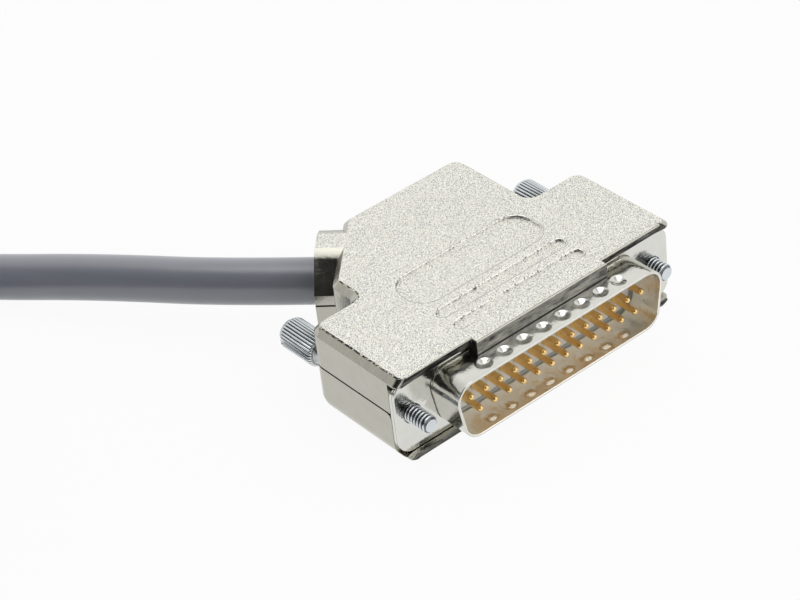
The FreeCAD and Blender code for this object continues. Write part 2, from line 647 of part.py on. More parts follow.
# Conductors inside the hood, gathered from the jacket's end to the solder cups
loom = new_body("wire_loom")
fan = sketch_on(loom, "XY_Plane", "-loom_thick")
cut_end = beside_cable(value("jacket_end") - 0.01, 0.0)
half = 2.9 / DIAGONAL
draw_outline(fan, [
    ("-loom_half", "tail_back"), ("loom_half", "tail_back"), ("loom_half", "tail_back + 1.4"),
    ("7", "tail_back + 3.2"), ("3", "tail_back + 7"),
    ("%.4f" % (cut_end[0] + half), "%.4f" % (cut_end[1] + half)),
    ("%.4f" % (cut_end[0] - half), "%.4f" % (cut_end[1] - half)),
    ("-8", "tail_back + 3.2"), ("-loom_half", "tail_back + 1.4")])
extrude(loom, fan, "loom_thick + loom_thick")


# Cable: 7.25 mm round jacket, straight out of the collar and down to the surface
def cable_point(out, aside, height):
    x, y = beside_cable(out, aside)
    return FreeCAD.Vector(x, y, height)


CABLE_ROUTE = [  # distance out along the exit, distance to the far side, height
    (value("jacket_end"), 0.0, 0.0), (44.1, 0.0, 0.0), (69.1, 5.4, -1.8), (87.6, 8.915, -3.875),
    (97.6, 10.515, -3.875),
]


def smooth_wire(points):
    """Straight runs joined by tangent arcs as large as the shorter run allows."""
    edges = []
    start = points[0]
    for before, corner, after in zip(points, points[1:], points[2:]):
        arriving = (corner - before).normalize()
        leaving = (after - corner).normalize()
        turn = arriving.getAngle(leaving)
        reach = 0.45 * min(before.distanceToPoint(corner), corner.distanceToPoint(after))
        radius = reach / math.tan(turn / 2.0)
        print("cable turn %.1f degrees, radius %.1f mm" % (math.degrees(turn), radius))
        enter = corner - arriving * reach
        leave = corner + leaving * reach
        inward = (leaving - arriving).normalize()
        middle = corner + inward * (radius / math.cos(turn / 2.0) - radius)
        edges.append(Part.LineSegment(start, enter).toShape())
        edges.append(Part.Arc(enter, middle, leave).toShape())
        start = leave
    edges.append(Part.LineSegment(start, points[-1]).toShape())
    return Part.Wire(edges)


def round_tube(wire, radius):
    edge = wire.Edges[0]
    start = edge.valueAt(edge.FirstParameter)
    heading = edge.tangentAt(edge.FirstParameter)
    section = Part.Wire(Part.makeCircle(radius, start, heading))
    return wire.makePipeShell([section], True, False)


route = [cable_point(*place) for place in CABLE_ROUTE]
cable_wire = smooth_wire(route)
cable = doc.addObject("Part::Feature", "cable")
cable.Label = "cable"
cable.Shape = round_tube(cable_wire, value("cable_radius"))
cable.Placement = FreeCAD.Placement()
ideal = math.pi * value("cable_radius") ** 2 * cable_wire.Length
print("cable volume %.1f, section times length %.1f" % (cable.Shape.Volume, ideal))
if abs(cable.Shape.Volume / ideal - 1) > 0.01:
    raise RuntimeError("the cable's tube has the wrong volume")

# Put-away coil: two turns across and three layers high, one closed solid with its last turn
heading = (route[-1] - route[-2]).normalize()
left_hand = FreeCAD.Vector(-heading.y, heading.x, 0)
outer_turn = value("coil_middle") + value("cable_pitch") / 2.0
tangent = route[-1] + heading * value("coil_lead")
centre = FreeCAD.Vector(tangent.x, tangent.y, 0) + left_hand * outer_turn
band = value("cable_pitch")
tangent_angle = math.degrees(math.atan2(tangent.y - centre.y, tangent.x - centre.x))
low_face = value("hood_bottom")
high_face = low_face + 3 * value("cable_pitch")
up_axis = FreeCAD.Vector(0, 0, 1)
ring = doc.addObject("Part::Feature", "coil_ring")
foot = FreeCAD.Vector(centre.x, centre.y, low_face)
ring.Shape = Part.makeCylinder(value("coil_middle") + band, high_face - low_face, foot, up_axis).cut(
    Part.makeCylinder(value("coil_middle") - band, high_face - low_face + 2,
                      foot - up_axis, up_axis))
lead_in = Part.makeCylinder(value("cable_radius"), value("coil_lead"), route[-1], heading)
last_height = high_face + value("cable_radius") - value("last_sink")
last_turn = Part.makeTorus(value("coil_middle"), value("cable_radius"),
                           FreeCAD.Vector(), up_axis, 0, 360, value("last_sweep"))
last_turn.rotate(FreeCAD.Vector(), up_axis, tangent_angle + 90.0)
last_turn.translate(FreeCAD.Vector(centre.x, centre.y, last_height))
tie_length = value("tie_wide")


def tie_box(inner, outer, low, high):
    """Upright box across the ring at the tie's place."""
    solid = Part.makeBox(outer - inner, tie_length, high - low,
                         FreeCAD.Vector(inner, -tie_length / 2.0, low))
    solid.rotate(FreeCAD.Vector(0, 0, 0), up_axis, tangent_angle + 21.6)
    solid.translate(FreeCAD.Vector(centre.x, centre.y, 0))
    return solid


near, far = value("coil_middle") - band, value("coil_middle") + band
strap = value("tie_thick")
tie_outside = tie_box(near - strap, far + strap, low_face, high_face + strap)
tie_inside = tie_box(near, far, low_face + strap, high_face)
notch = tie_box(near - strap, far + strap, low_face, low_face + strap)
coil = doc.addObject("Part::Feature", "cable_coil")
coil.Label = "cable_coil"
coil.Shape = ring.Shape.fuse([lead_in, last_turn]).removeSplitter().cut(notch)
coil.Placement = FreeCAD.Placement()
tie = doc.addObject("Part::Feature", "coil_tie")
tie.Label = "coil_tie"
tie.Shape = tie_outside.cut(tie_inside).cut(coil.Shape)
tie.Placement = FreeCAD.Placement()
end_angle = math.radians(tangent_angle + 90.0 + value("last_sweep"))
end_point = FreeCAD.Vector(centre.x + value("coil_middle") * math.cos(end_angle),
                           centre.y + value("coil_middle") * math.sin(end_angle), last_height)
end_heading = FreeCAD.Vector(-math.sin(end_angle), math.cos(end_angle), 0)
bare_end = doc.addObject("Part::Feature", "bare_end")
bare_end.Label = "bare_end"
bare_end.Shape = Part.makeCylinder(value("bundle_radius"), value("bundle_long"), end_point, end_heading)
bare_end.Placement = FreeCAD.Placement()

# Every sub-part is checked, then written under its own name
doc.recompute()
SUBPARTS = [upper, lower, clamp, shell, rear, nose, back_block, loom, cable, coil, tie, bare_end]
SUBPARTS += contact_bodies + jack_bodies
SUBPARTS += [screw_group("case_screws", case_screws), screw_group("clamp_screws", clamp_screws)]
doc.recompute()
for item in doc.Objects:
    if "Invalid" in item.State or "Error" in item.State:
        raise RuntimeError("%s is in state %s" % (item.Label, item.State))
for item in SUBPARTS:
    if item.Shape.isNull() or not item.Shape.isValid():
        raise RuntimeError("%s has no valid shape" % item.Label)
for item in SUBPARTS:
    item.Shape.exportStep("parts/%s.step" % item.Label)
print("%d sub-parts written" % len(SUBPARTS))
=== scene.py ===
import math

import bmesh
import bpy
from mathutils import Matrix, Vector


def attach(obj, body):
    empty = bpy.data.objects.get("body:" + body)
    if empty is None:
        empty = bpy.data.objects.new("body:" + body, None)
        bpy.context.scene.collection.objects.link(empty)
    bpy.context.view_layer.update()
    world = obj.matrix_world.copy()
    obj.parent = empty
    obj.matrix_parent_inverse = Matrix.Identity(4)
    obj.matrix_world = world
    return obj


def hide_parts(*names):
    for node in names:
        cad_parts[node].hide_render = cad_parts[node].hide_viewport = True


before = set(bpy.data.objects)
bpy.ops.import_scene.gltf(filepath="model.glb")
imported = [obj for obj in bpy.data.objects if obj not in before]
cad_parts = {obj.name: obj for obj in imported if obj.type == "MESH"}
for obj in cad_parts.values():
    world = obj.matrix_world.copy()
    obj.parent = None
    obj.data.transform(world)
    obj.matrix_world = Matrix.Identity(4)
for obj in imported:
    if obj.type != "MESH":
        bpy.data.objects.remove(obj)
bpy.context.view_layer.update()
MM = 0.001

# Camera
# A long lens a third of a metre from the plug, looking down on the pin side
# from the front left, a little rolled.
CAMERA_AT = (-185.08, -223.30, 223.64)
TURNED, LOOKS_DOWN, ROLLED = -35.915, 36.471, -7.072
camera_data = bpy.data.cameras.new("camera")
camera_data.sensor_width = 36.0
camera_data.lens = 113.888
camera_data.clip_start = 0.01
camera = bpy.data.objects.new("camera", camera_data)
turn = Matrix.Rotation(math.radians(TURNED), 4, "Z")
tilt = Matrix.Rotation(math.radians(90.0 - LOOKS_DOWN), 4, "X")
roll = Matrix.Rotation(math.radians(ROLLED), 4, "Z")
camera.matrix_world = Matrix.Translation(Vector(CAMERA_AT) * MM) @ turn @ tilt @ roll
bpy.context.scene.collection.objects.link(camera)
bpy.context.scene.camera = camera


# Cable
# Round PVC jacket, extruded over twenty-five cores. It leaves the clamp inside the
# hood, sinks to the surface it lies on and goes on into the put-away coil.
class Wire:
    """A shader socket that can be used in plain arithmetic."""

    def __init__(self, tree, socket):
        self.tree = tree
        self.socket = socket

    def math(self, operation, *others):
        node = self.tree.nodes.new("ShaderNodeMath")
        node.operation = operation
        for place, item in enumerate((self,) + others):
            if isinstance(item, Wire):
                self.tree.links.new(item.socket, node.inputs[place])
            else:
                node.inputs[place].default_value = item
        return Wire(self.tree, node.outputs[0])

    def __add__(self, other):
        return self.math("ADD", other)

    def __mul__(self, other):
        return self.math("MULTIPLY", other)

    def __sub__(self, other):
        return self.math("SUBTRACT", other)

    def clamp(self):
        return self.math("MAXIMUM", 0.0).math("MINIMUM", 1.0)


class Nodes:
    """A node tree, and a method that adds any node to it."""

    def __init__(self, tree):
        self.tree = tree

    def node(self, kind, settings=None, output=0, **sockets):
        made = self.tree.nodes.new("ShaderNode" + kind)
        for key, setting in (settings or {}).items():
            if key == "stops":
                ramp = made.color_ramp
                while len(ramp.elements) < len(setting):
                    ramp.elements.new(0.5)
                for element, (place, colour) in zip(ramp.elements, setting):
                    element.position = place
                    element.color = colour
            else:
                setattr(made, key, setting)
        for name, item in sockets.items():
            socket = made.inputs[int(name[1:])] if name[0] == "i" and name[1:].isdigit() \
                else made.inputs[name.replace("_", " ")]
            if isinstance(item, Wire):
                self.tree.links.new(item.socket, socket)
            else:
                socket.default_value = item
        return Wire(self.tree, made.outputs[output])


class Finish(Nodes):
    """One material: a principled shader with its constants, and what varies over the surface."""

    def __init__(self, name, **constants):
        self.material = bpy.data.materials.new(name)
        self.material.use_nodes = True
        super().__init__(self.material.node_tree)
        self.shader = self.tree.nodes["Principled BSDF"]
        for socket, constant in constants.items():
            self.shader.inputs[socket.replace("_", " ")].default_value = constant

    def place(self):
        return self.node("TexCoord", output=3)

    def noise(self, scale, detail=2.0, roughness=0.5, vector=None):
        return self.node("TexNoise", Scale=scale, Detail=detail, Roughness=roughness,
                         Vector=vector or self.place())

    def mix(self, factor, first, second):
        return self.node("Mix", {"data_type": "RGBA"}, output=2, i0=factor, i6=first, i7=second)

    def bump(self, height, distance, strength=1.0):
        return self.node("Bump", Height=height, Distance=distance, Strength=strength)

    def feed(self, **wires):
        for socket, wire in wires.items():
            self.tree.links.new(wire.socket, self.shader.inputs[socket.replace("_", " ")])
        return self.material


CABLE_ACROSS = 7.25 * MM
COIL_MIDDLE = 36.25 * MM
OUTER, INNER = COIL_MIDDLE + CABLE_ACROSS / 2.0, COIL_MIDDLE - CABLE_ACROSS / 2.0
FLOOR = -7.5 * MM
LAYERS, LAST_HEIGHT = (-3.875, 3.375, 10.625), 17.275
# How far out and how high the coil runs, by turns, and how many turns it has.
RADII = [(0.0, OUTER), (0.85, OUTER), (1.0, INNER), (2.55, INNER), (2.70, OUTER), (4.25, OUTER),
         (4.40, INNER), (5.10, INNER), (5.25, COIL_MIDDLE)]
HEIGHTS = [(0.0, LAYERS[0]), (1.70, LAYERS[0]), (1.85, LAYERS[1]), (3.40, LAYERS[1]),
           (3.55, LAYERS[2]), (5.10, LAYERS[2]), (5.25, LAST_HEIGHT)]
TURNS = 5.25 + 100.0 / 360.0
# Points a turn, and how much a smooth line runs inside points that far apart.
STEPS, SHORTFALL = 20, 0.9878
LEAD_IN, LEAD_MIDDLE = 24.6, 12.0


def cable_point(out, aside, height):
    """Out along the cable's exit, aside to its far side, and height, in millimetres."""
    return Vector((10.8 + (aside - out) / math.sqrt(2.0),
                   10.8 + (aside + out) / math.sqrt(2.0), height)) * MM


def between(stops, turns):
    """Radius or height after a number of turns, changing evenly between its stops."""
    for (start, low), (end, high) in zip(stops, stops[1:]):
        if turns <= end:
            return low + (high - low) * max(0.0, (turns - start) / (end - start))
    return stops[-1][1]


route = [cable_point(18.5, 0.0, 0.0), cable_point(44.1, 0.0, 0.0), cable_point(69.1, 5.4, -1.8),
         cable_point(87.6, 8.915, LAYERS[0]), cable_point(97.6, 10.515, LAYERS[0])]
heading = (route[-1] - route[-2]).normalized()
left_hand = Vector((-heading.y, heading.x, 0.0))
tangent = route[-1] + heading * LEAD_IN * MM
coil_centre = tangent + left_hand * (COIL_MIDDLE + CABLE_ACROSS / 2.0)
first_angle = math.atan2(tangent.y - coil_centre.y, tangent.x - coil_centre.x)
route.append(route[-1] + heading * LEAD_MIDDLE * MM)
for step in range(1, math.ceil(TURNS * STEPS) + 1):
    turns = min(step / STEPS, TURNS)
    angle = first_angle + math.tau * turns
    radius = between(RADII, turns) / SHORTFALL
    route.append(Vector((coil_centre.x + radius * math.cos(angle),
                         coil_centre.y + radius * math.sin(angle), between(HEIGHTS, turns) * MM)))
cable_curve = bpy.data.curves.new("cable_jacket", "CURVE")
cable_curve.dimensions = "3D"
cable_curve.bevel_depth = CABLE_ACROSS / 2.0
cable_curve.bevel_resolution = 12
cable_curve.use_fill_caps = True
spline = cable_curve.splines.new("NURBS")
spline.points.add(len(route) - 1)
for point, place in zip(spline.points, route):
    point.co = (*place, 1.0)
spline.order_u = 3
spline.use_endpoint_u = True
spline.resolution_u = 10
cable = bpy.data.objects.new("cable_jacket", cable_curve)
bpy.context.scene.collection.objects.link(cable)
jacket = Finish("jacket_grey", Roughness=0.32, Specular_IOR_Level=1.0,
                Coat_Weight=0.4, Coat_Roughness=0.3)
mottle = jacket.noise(160.0, 3.0)
cable_curve.materials.append(jacket.feed(
    Base_Color=jacket.mix(mottle, (0.246, 0.257, 0.306, 1.0), (0.282, 0.294, 0.345, 1.0)),
    Normal=jacket.bump(jacket.noise(1500.0, 4.0), 0.00003, 0.45)))
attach(cable, "hood")
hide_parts("cable", "cable_coil")

# Put-away end
# The strap is woven tape closed on itself round all the turns. Past the jacket's
# cut end the twenty-five insulated cores lie bare, each stripped to its strands.
def set_down(name, build, finishes, body, slot, *nodes, crease=32.0):
    """Makes one piece of a build, rides it on its body and hides the nodes it stands for."""
    mesh = bpy.data.meshes.new(name)
    build.to_mesh(mesh)
    build.free()
    for finish in finishes:
        mesh.materials.append(finish)
    mesh.shade_smooth()
    mesh.set_sharp_from_angle(angle=math.radians(crease))
    piece = bpy.data.objects.new(name, mesh)
    bpy.context.scene.collection.objects.link(piece)
    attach(piece, body)
    if nodes:
        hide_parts(*nodes)
    return piece


def rounded_plate(build, corners, rounds, steps=6):
    """A flat face through corner points in plan, each corner rounded by its own length."""
    points = [build.verts.new((x * MM, y * MM, 0.0)) for x, y in corners]
    build.faces.new(points)
    for length in sorted(set(rounds)):
        bmesh.ops.bevel(build, geom=[point for point, size in zip(points, rounds)
                                     if size == length and point.is_valid],
                        offset=length * MM, offset_type="OFFSET", segments=steps, profile=0.5,
                        affect="VERTICES", material=-1)


def points_of(made):
    """The points among what an operator has made."""
    return [item for item in made if isinstance(item, bmesh.types.BMVert)]


STRAP_WIDE, STRAP_THICK, STRAP_ROUND = 9.0, 0.5, 2.4
STRAP_HALF, STRAP_LOW, STRAP_HIGH, STRAP_TURN = 7.7, -7.48, 14.7, 21.6
strap_angle = first_angle + math.radians(STRAP_TURN)
band = bmesh.new()
rounded_plate(band, [(-STRAP_HALF, STRAP_LOW), (STRAP_HALF, STRAP_LOW),
                     (STRAP_HALF, STRAP_HIGH), (-STRAP_HALF, STRAP_HIGH)], [STRAP_ROUND] * 4)
bmesh.ops.delete(band, geom=band.faces[:], context="FACES_ONLY")
swept = bmesh.ops.extrude_edge_only(band, edges=band.edges[:])
bmesh.ops.translate(band, verts=points_of(swept["geom"]), vec=(0.0, 0.0, STRAP_WIDE * MM))
bmesh.ops.translate(band, verts=band.verts[:], vec=(0.0, 0.0, -STRAP_WIDE / 2.0 * MM))
bmesh.ops.recalc_face_normals(band, faces=band.faces[:])
bmesh.ops.solidify(band, geom=band.faces[:], thickness=STRAP_THICK * MM)
bmesh.ops.rotate(band, verts=band.verts[:], matrix=Matrix.Rotation(math.radians(90.0), 3, "X"))
bmesh.ops.translate(band, verts=band.verts[:], vec=(COIL_MIDDLE, 0.0, 0.0))
bmesh.ops.rotate(band, verts=band.verts[:], matrix=Matrix.Rotation(strap_angle, 3, "Z"))
bmesh.ops.translate(band, verts=band.verts[:], vec=(coil_centre.x, coil_centre.y, 0.0))
woven = Finish("woven_tape", Roughness=0.85)
turned_place = woven.node("Mapping", {"vector_type": "TEXTURE"}, Vector=woven.place(),
                          Location=(coil_centre.x, coil_centre.y, 0.0),
                          Rotation=(0.0, 0.0, strap_angle))
across_tape, along_tape = (
    woven.node("TexWave", {"bands_direction": way}, output=1, Vector=turned_place, Scale=300.0)
    for way in "YZ")
weave = across_tape * along_tape
strap = set_down("coil_strap", band, [woven.feed(
    Base_Color=woven.mix(weave, (0.010, 0.010, 0.012, 1.0), (0.035, 0.035, 0.040, 1.0)),
    Normal=woven.bump(weave, 0.00012, 0.8))], "hood", "tie", "coil_tie")

CORES = 25
CORE_COLOURS = [(0.50, 0.49, 0.46), (0.02, 0.02, 0.02), (0.22, 0.09, 0.04), (0.45, 0.03, 0.03),
                (0.55, 0.20, 0.03), (0.60, 0.48, 0.05), (0.05, 0.22, 0.08), (0.04, 0.10, 0.35),
                (0.20, 0.08, 0.30), (0.25, 0.26, 0.27)]
core_finishes = []
for number, (red, green, blue) in enumerate(CORE_COLOURS):
    core = Finish("core_%d" % number, Roughness=0.38)
    core_finishes.append(core.feed(Base_Color=core.mix(
        core.noise(900.0, 3.0), (red * 0.86, green * 0.86, blue * 0.86, 1.0),
        (red, green, blue, 1.0))))
copper = Finish("copper_strands", Metallic=1.0, Roughness=0.35)
copper_lay = copper.noise(6000.0, 2.0)
core_finishes.append(copper.feed(
    Base_Color=copper.mix(copper_lay, (0.62, 0.27, 0.14, 1.0), (0.86, 0.47, 0.30, 1.0)),
    Normal=copper.bump(copper_lay, 0.00005, 0.6)))
GOLDEN = math.pi * (3.0 - math.sqrt(5.0))


def bundled(number, spread):
    """Place of one of the cores inside a round bundle of that radius."""
    reach = spread * math.sqrt((number + 0.5) / CORES)
    return reach * math.cos(number * GOLDEN), reach * math.sin(number * GOLDEN)


def core_group(name, runs, slot, *nodes):
    """Thin round wires along smooth lines, made one mesh. A run is points, radius and finish."""
    thin = 0.001
    curve = bpy.data.curves.new(name, "CURVE")
    curve.dimensions = "3D"
    curve.bevel_depth = thin * MM
    curve.bevel_resolution = 2
    curve.use_fill_caps = True
    for finish in core_finishes:
        curve.materials.append(finish)
    for points, radius, finish in runs:
        wire = curve.splines.new("NURBS")
        wire.points.add(len(points) - 1)
        for point, place in zip(wire.points, points):
            point.co = (*place, 1.0)
            point.radius = radius / thin
        wire.order_u = 3
        wire.use_endpoint_u = True
        wire.resolution_u = 5
        wire.material_index = finish
    shape = bpy.data.objects.new(name + "_line", curve)
    bpy.context.scene.collection.objects.link(shape)
    graph = bpy.context.evaluated_depsgraph_get()
    mesh = bpy.data.meshes.new_from_object(shape.evaluated_get(graph))
    bpy.data.objects.remove(shape)
    mesh.name = name
    piece = bpy.data.objects.new(name, mesh)
    bpy.context.scene.collection.objects.link(piece)
    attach(piece, "hood")
    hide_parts(*nodes)
    return piece


end_angle = first_angle + math.tau * TURNS
end_place = Vector((coil_centre.x + COIL_MIDDLE * math.cos(end_angle),
                    coil_centre.y + COIL_MIDDLE * math.sin(end_angle), LAST_HEIGHT * MM))
end_heading = Vector((-math.sin(end_angle), math.cos(end_angle), 0.0))
end_aside = Vector((-end_heading.y, end_heading.x, 0.0))
INSULATED, STRIPPED = 0.43, 0.26
# How far past the jacket's end, and how wide the bundle is there. Four of these
# lie in the insulation, and the strands go on from the fourth.
BUNDLE = ((-1.5, 2.2), (4.0, 2.15), (12.0, 2.25), (18.5, 2.3), (21.5, 2.3), (23.8, 2.3))
bare_runs = []
for number in range(CORES):
    points = []
    for out, spread in BUNDLE:
        aside, height = bundled(number, spread)
        points.append(end_place + end_heading * out * MM + end_aside * aside * MM
                      + Vector((0.0, 0.0, height * MM)))
    bare_runs.append((points[:4], INSULATED, number % len(CORE_COLOURS)))
    bare_runs.append((points[3:], STRIPPED, len(CORE_COLOURS)))
bare_cores = core_group("bare_cores", bare_runs, "conductors", "bare_end")

# Hood halves
# Two castings in zinc alloy, nickel plated: a fine grain on the flat top, smooth
# bevels and walls. They close on a parting line and hold the plug's flange.
def merged_copy(node):
    """A build of a CAD node's mesh with its doubles merged and its flat faces whole."""
    build = bmesh.new()
    build.from_mesh(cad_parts[node].data)
    bmesh.ops.remove_doubles(build, verts=build.verts[:], dist=0.003 * MM)
    bmesh.ops.dissolve_limit(build, angle_limit=math.radians(0.6), verts=build.verts[:],
                             edges=build.edges[:], delimit=set())
    return build


def round_off(build, edges, width, steps, clamp=False):
    """Rounds edges of a build by a width in millimetres."""
    bmesh.ops.bevel(build, geom=edges, offset=width * MM, offset_type="OFFSET", segments=steps,
                    profile=0.5, affect="EDGES", material=-1, clamp_overlap=clamp)


def hard_edges(build):
    """Edges between two faces that meet at more than a slight angle."""
    return [edge for edge in build.edges
            if len(edge.link_faces) == 2 and edge.calc_face_angle(0.0) > math.radians(28.0)]


def ease_edges(build, width):
    """Small rounds on every hard edge, as plating and tumbling leave them."""
    round_off(build, hard_edges(build), width, 2, clamp=True)


def bevel_where(build, width, steps, test):
    """Rounds the hard edges that a test picks, given in millimetres by both their ends."""
    round_off(build, [edge for edge in hard_edges(build)
                      if test(edge.verts[0].co / MM, edge.verts[1].co / MM)], width, steps)


def smooth_nickel(name, low, high, roughness, waves):
    """Bright plating over a cast or drawn skin: flow marks, slight waves and a little tarnish."""
    plating = Finish(name, Metallic=1.0)
    flow = plating.noise(420.0, 5.0, 0.62)
    speck = plating.noise(2600.0, 2.0)
    plating.feed(Base_Color=plating.mix(flow, low, high),
                 Roughness=(flow * 0.12) + (speck * 0.06) + roughness,
                 Normal=plating.bump((speck * 0.12) + flow, waves, 0.8))
    return plating.material


cast_side = smooth_nickel("cast_side", (0.42, 0.41, 0.355, 1.0), (0.52, 0.51, 0.45, 1.0),
                          0.12, 0.00008)
grain = Finish("cast_grain", Metallic=1.0)
# Turned away from the flat top, because noise fades on its own level planes.
turned_grain = grain.node("Mapping", {"vector_type": "TEXTURE"}, Vector=grain.place(),
                          Rotation=(0.5, 0.4, 0.3))
coarse = grain.noise(6000.0, 1.0, 0.8, turned_grain)
cast_grain = grain.feed(
    Base_Color=grain.node("ValToRGB", {"stops": [
        (0.36, (0.28, 0.30, 0.34, 1.0)), (0.46, (0.69, 0.68, 0.64, 1.0)),
        (0.54, (0.89, 0.87, 0.76, 1.0)), (0.64, (0.98, 0.97, 0.93, 1.0))]}, Fac=coarse),
    Roughness=(coarse * 0.2) + 0.34,
    Normal=grain.bump(coarse, 0.00005, 0.6))
line = Finish("edge_shadow", Metallic=1.0, Roughness=0.45)
ragged = ((line.noise(1700.0, 4.0, 0.75) - 0.5) * 9.0 + 0.25).clamp()
edge_shadow = line.feed(
    Base_Color=line.mix(ragged, (0.018, 0.017, 0.015, 1.0), (0.66, 0.65, 0.58, 1.0)))
# Painted highlight and shade: the relief walls near white, broken by dark dashes.
dash = Finish("relief_painted_highlight", Metallic=1.0, Roughness=0.3)
dashes = ((dash.noise(2700.0, 3.0, 0.7) - 0.5) * 10.0 + 1.2).clamp()
relief_painted_highlight = dash.feed(
    Base_Color=dash.mix(dashes, (0.09, 0.09, 0.085, 1.0), (0.97, 0.96, 0.92, 1.0)))
# Painted shade: near black in the gaps, on the parting line's chamfers, in the slot beside the
# tongue and along the tongue's foot, where shade falls.
gap_shade_finish = Finish("painted_gap_shade", Metallic=0.6, Roughness=0.6)
painted_gap_shade = gap_shade_finish.feed(Base_Color=gap_shade_finish.mix(
    gap_shade_finish.noise(1200.0, 3.0), (0.010, 0.010, 0.010, 1.0), (0.05, 0.048, 0.044, 1.0)))
# Painted shade and dark reflection: the hood's front lip over the flange, streaked near black with
# lighter flecks.
lip = Finish("lip_painted_shade", Metallic=0.9, Roughness=0.5)
along_lip = lip.node("Mapping", {"vector_type": "POINT"}, Vector=lip.place(),
                     Scale=(0.22, 1.0, 1.0))
lip_shade_streaks = ((lip.noise(1500.0, 4.0, 0.7, along_lip) - 0.5) * 3.5 + 0.28).clamp()
lip_painted_shade = lip.feed(
    Base_Color=lip.mix(lip_shade_streaks, (0.020, 0.020, 0.018, 1.0), (0.24, 0.235, 0.21, 1.0)),
    Normal=lip.bump(lip_shade_streaks, 0.00005, 0.6))
# Painted reflection: the tongue's front blotched dark and light along its length, for what it
# mirrors.
tongue = Finish("tongue_painted_reflection", Metallic=1.0)
along_tongue = tongue.node("Mapping", {"vector_type": "POINT"}, Vector=tongue.place(),
                           Scale=(0.25, 1.0, 1.0))
reflection_patches = ((tongue.noise(1300.0, 4.0, 0.65, along_tongue) - 0.5) * 3.2 + 0.48).clamp()
tongue_painted_reflection = tongue.feed(
    Base_Color=tongue.mix(reflection_patches, (0.09, 0.09, 0.086, 1.0), (0.46, 0.45, 0.42, 1.0)),
    Roughness=(reflection_patches * 0.2) + 0.25, Normal=tongue.bump(reflection_patches, 0.00006, 0.8))
CAST_FINISHES = [cast_side, cast_grain, edge_shadow, painted_gap_shade, lip_painted_shade, tongue_painted_reflection,
                 relief_painted_highlight]
SIDE, GRAIN, EDGE, GAP_SHADE, LIP, TONGUE, DASH = range(len(CAST_FINISHES))
# Places on the hood in millimetres: the parting line, the fronts of lip and tongue,
# the slot beside the tongue, and what lies above the bevels or on the flat top.
PARTING, LIP_FRONT, TONGUE_FRONT, SLOT_LEVEL = 1.0, -0.85, -1.9, 5.25
OVER_BEVELS, ON_TOP = 7.0, 7.4
# The box round the relief, and in depth the far halves of its panel and two grooves.
RELIEF_SIDE, RELIEF_NEAR, RELIEF_FAR = 13.2, 1.6, 18.3
FAR_HALVES = ((13.75, 18.2), (6.75, 8.3), (2.85, 4.4))
# Where the panel's and the grooves' ends turn round, and the panel's near side.
PANEL_END, GROOVE_END, PANEL_NEAR = 10.8, 11.7, 9.5
# The top's left side, and the stretch of the notch that faces the same way.
LEFT_SIDE, NOTCH_SIDE, NOTCH_DEPTHS = -25.2, -16.0, (18.2, 24.5)


def in_far_half(middle):
    """Whether a place lies in a relief's half away from the plug, whose edge is in shade."""
    return abs(middle.x) <= RELIEF_SIDE and any(
        near < middle.y < far for near, far in FAR_HALVES)


def lip_corner(one, two):
    """Picks the upright corners at both ends of the lip."""
    return abs(one.z - two.z) > 0.1 and min(abs(one.x), abs(two.x)) > 25.5 \
        and max(one.y, two.y) < LIP_FRONT


def lip_edge(one, two):
    """Picks the lip's long front edges, above and below."""
    return max(one.y, two.y) < LIP_FRONT and min(abs(one.z), abs(two.z)) > 7.45


def relief_edge(one, two):
    """Picks the outlines of the panel and the grooves on the flat top."""
    return min(one.z, two.z) > 7.49 and max(abs(one.x), abs(two.x)) < 12.7 \
        and min(one.y, two.y) > RELIEF_NEAR and max(one.y, two.y) < 17.9


def mark_faces(build):
    """Gives each face of a casting its finish by where it lies and where it looks."""
    for face in build.faces:
        middle = face.calc_center_median() / MM
        # Painted gap shade on the parting line's chamfers.
        if abs(middle.z - PARTING) < 0.16 and 0.4 < abs(face.normal.z) < 0.95:
            face.material_index = GAP_SHADE
        # Painted shade and dark reflection on the lip's front, painted reflection on the tongue's
        # front.
        if face.normal.y < -0.95 and middle.y < -0.8:
            face.material_index = TONGUE if middle.y < -1.5 else LIP
        # Painted gap shade in the slot beside the tongue and on the tongue's lowest strip.
        if middle.y < -0.95 and (abs(face.normal.x) > 0.9 or abs(middle.z) < SLOT_LEVEL):
            face.material_index = GAP_SHADE
        if face.normal.z > 0.999 and middle.z > OVER_BEVELS:
            face.material_index = GRAIN
        # The relief walls take the painted highlight with its dark dashes.
        elif middle.z > OVER_BEVELS and abs(middle.x) < 13.0 and 2.0 < middle.y < 17.9:
            face.material_index = DASH
        elif middle.z > 7.38 and middle.x < -25.3:
            face.material_index = EDGE


def edge_the_top(build):
    """Two narrow flat rims round the grained faces, which carry the dark and bright lines."""
    grained = [face for face in build.faces if face.material_index == GRAIN]
    for first in (True, False) if grained else ():
        rim = bmesh.ops.inset_region(build, faces=grained, thickness=0.15 * MM, depth=0.0,
                                     use_even_offset=True, use_boundary=True)
        for face in rim["faces"]:
            middle = face.calc_center_median() / MM
            on_top = middle.z > ON_TOP
            near_left = middle.x < LEFT_SIDE or (
                middle.x < NOTCH_SIDE and NOTCH_DEPTHS[0] < middle.y < NOTCH_DEPTHS[1])
            round_end = abs(middle.x) > (PANEL_END if middle.y > PANEL_NEAR else GROOVE_END)
            by_relief = abs(middle.x) < RELIEF_SIDE and RELIEF_NEAR < middle.y < RELIEF_FAR
            face.material_index = GRAIN
            if on_top and near_left:
                face.material_index = EDGE
            elif first and on_top and by_relief and not in_far_half(middle):
                face.material_index = SIDE
            elif first and not on_top and round_end and in_far_half(middle):
                face.material_index = EDGE


